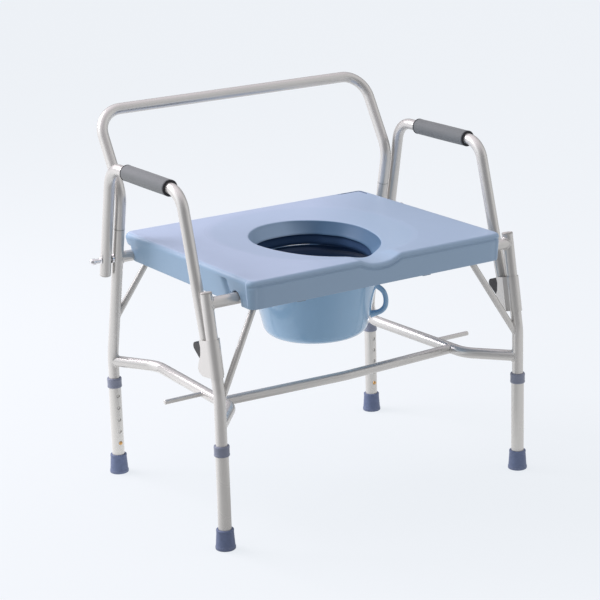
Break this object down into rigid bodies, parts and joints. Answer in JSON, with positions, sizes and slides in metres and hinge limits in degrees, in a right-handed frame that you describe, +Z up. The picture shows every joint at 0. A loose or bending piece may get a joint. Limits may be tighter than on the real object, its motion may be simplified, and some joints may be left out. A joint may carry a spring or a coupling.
{
  "type": "bedside commode chair",
  "caption": "Wide bedside commode chair with tube frame, drop-down padded arms, moulded seat with open front channel, slide-out pail, removable tube back and height-adjustable legs.",
  "frame": {"origin": "on the floor, under the centre of the chair's outline", "axes": "+Z up; -Y is the front of the seat; +X to the right for someone who faces the front of the chair"},
  "size_m": [0.758, 0.5275, 0.7613],
  "materials": {
    "frame_paint": "satin powder coat, warm silver grey",
    "extension_paint": "satin powder coat, warm silver grey",
    "cap_plastic": "matte grey",
    "bright_steel": "bright plated",
    "spring_steel": "plain steel",
    "foot_rubber": "matte slate blue",
    "collar_plastic": "satin slate blue",
    "button_brass": "polished",
    "grip_foam": "closed-cell foam, mid grey",
    "lever_plastic": "moulded black",
    "seat_plastic": "blow-moulded, soft pale blue",
    "clip_plastic": "moulded, white",
    "pail_plastic": "glossy light blue"
  },
  "bodies": {
    "frame": {"left_front_leg": "frame_paint", "right_front_leg": "frame_paint", "left_rear_leg": "frame_paint", "right_rear_leg": "frame_paint", "front_leg_caps": "cap_plastic", "front_seat_tube": "frame_paint", "rear_seat_tube": "frame_paint", "left_front_brace": "frame_paint", "right_front_brace": "frame_paint", "left_rear_brace": "frame_paint", "right_rear_brace": "frame_paint", "left_side_bar": "frame_paint", "right_side_bar": "frame_paint", "lower_crossbar": "frame_paint", "left_stop_rod": "frame_paint", "right_stop_rod": "frame_paint", "left_latch_bracket": "frame_paint", "right_latch_bracket": "frame_paint", "left_pail_rail": "bright_steel", "right_pail_rail": "bright_steel", "arm_pivot_bolts": "bright_steel", "arm_pivot_nuts": "bright_steel", "arm_pivot_spacers": "bright_steel", "pivot_inserts": "spring_steel", "snap_button_springs": "spring_steel"},
    "left_arm": {"left_arm_tube": "frame_paint", "left_arm_grip": "grip_foam", "left_arm_plugs": "cap_plastic", "left_lever_pin": "bright_steel", "left_lever_spring": "spring_steel"},
    "left_lever": {"left_release_lever": "lever_plastic"},
    "right_arm": {"right_arm_tube": "frame_paint", "right_arm_grip": "grip_foam", "right_arm_plugs": "cap_plastic", "right_lever_pin": "bright_steel", "right_lever_spring": "spring_steel"},
    "right_lever": {"right_release_lever": "lever_plastic"},
    "left_front_extension": {"left_front_extension": "extension_paint", "left_front_collar": "collar_plastic", "left_front_foot": "foot_rubber"},
    "left_front_button": {"left_front_button": "button_brass"},
    "right_front_extension": {"right_front_extension": "extension_paint", "right_front_collar": "collar_plastic", "right_front_foot": "foot_rubber"},
    "right_front_button": {"right_front_button": "button_brass"},
    "left_rear_extension": {"left_rear_extension": "extension_paint", "left_rear_collar": "collar_plastic", "left_rear_foot": "foot_rubber"},
    "left_rear_button": {"left_rear_button": "button_brass"},
    "right_rear_extension": {"right_rear_extension": "extension_paint", "right_rear_collar": "collar_plastic", "right_rear_foot": "foot_rubber"},
    "right_rear_button": {"right_rear_button": "button_brass"},
    "seat": {"seat_panel": "seat_plastic", "seat_hinge_clips": "clip_plastic", "seat_rest_saddles": "clip_plastic", "seat_clip_screws": "bright_steel"},
    "backrest": {"backrest_tube": "frame_paint", "backrest_inserts": "spring_steel"},
    "pail": {"pail": "pail_plastic"}
  },
  "joints": [
    {"name": "left_arm_drop", "type": "hinge", "parent": "frame", "child": "left_arm", "pos_m": [-0.3435, 0.19205, 0.466], "axis": [1, 0, 0], "range_deg": [0, 74]},
    {"name": "left_lever_press", "type": "hinge", "parent": "left_arm", "child": "left_lever", "pos_m": [-0.3435, -0.20175, 0.362], "axis": [1, 0, 0], "range_deg": [-22, 0], "stiffness_Nm_per_rad": 0.05},
    {"name": "right_arm_drop", "type": "hinge", "parent": "frame", "child": "right_arm", "pos_m": [0.3435, 0.19205, 0.466], "axis": [1, 0, 0], "range_deg": [0, 74]},
    {"name": "right_lever_press", "type": "hinge", "parent": "right_arm", "child": "right_lever", "pos_m": [0.3435, -0.20175, 0.362], "axis": [1, 0, 0], "range_deg": [-22, 0], "stiffness_Nm_per_rad": 0.05},
    {"name": "left_front_height", "type": "slide", "parent": "frame", "child": "left_front_extension", "axis": [0, 0, -1], "range_m": [0, 0.1016]},
    {"name": "left_front_button_press", "type": "slide", "parent": "frame", "child": "left_front_button", "axis": [0, -1, 0], "range_m": [0, 0.003]},
    {"name": "right_front_height", "type": "slide", "parent": "frame", "child": "right_front_extension", "axis": [0, 0, -1], "range_m": [0, 0.1016]},
    {"name": "right_front_button_press", "type": "slide", "parent": "frame", "child": "right_front_button", "axis": [0, -1, 0], "range_m": [0, 0.003]},
    {"name": "left_rear_height", "type": "slide", "parent": "frame", "child": "left_rear_extension", "axis": [0, 0, -1], "range_m": [0, 0.1016]},
    {"name": "left_rear_button_press", "type": "slide", "parent": "frame", "child": "left_rear_button", "axis": [0, 1, 0], "range_m": [0, 0.003]},
    {"name": "right_rear_height", "type": "slide", "parent": "frame", "child": "right_rear_extension", "axis": [0, 0, -1], "range_m": [0, 0.1016]},
    {"name": "right_rear_button_press", "type": "slide", "parent": "frame", "child": "right_rear_button", "axis": [0, 1, 0], "range_m": [0, 0.003]},
    {"name": "seat_lift", "type": "hinge", "parent": "frame", "child": "seat", "pos_m": [0, 0.19205, 0.466], "axis": [-1, 0, 0], "range_deg": [0, 85]},
    {"name": "backrest_lift_out", "type": "slide", "parent": "frame", "child": "backrest", "axis": [0, -0.206, 0.9785], "range_m": [0, 0.05]},
    {"name": "pail_slide", "type": "slide", "parent": "frame", "child": "pail", "axis": [0, -1, 0], "range_m": [0, 0.36]}
  ]
}
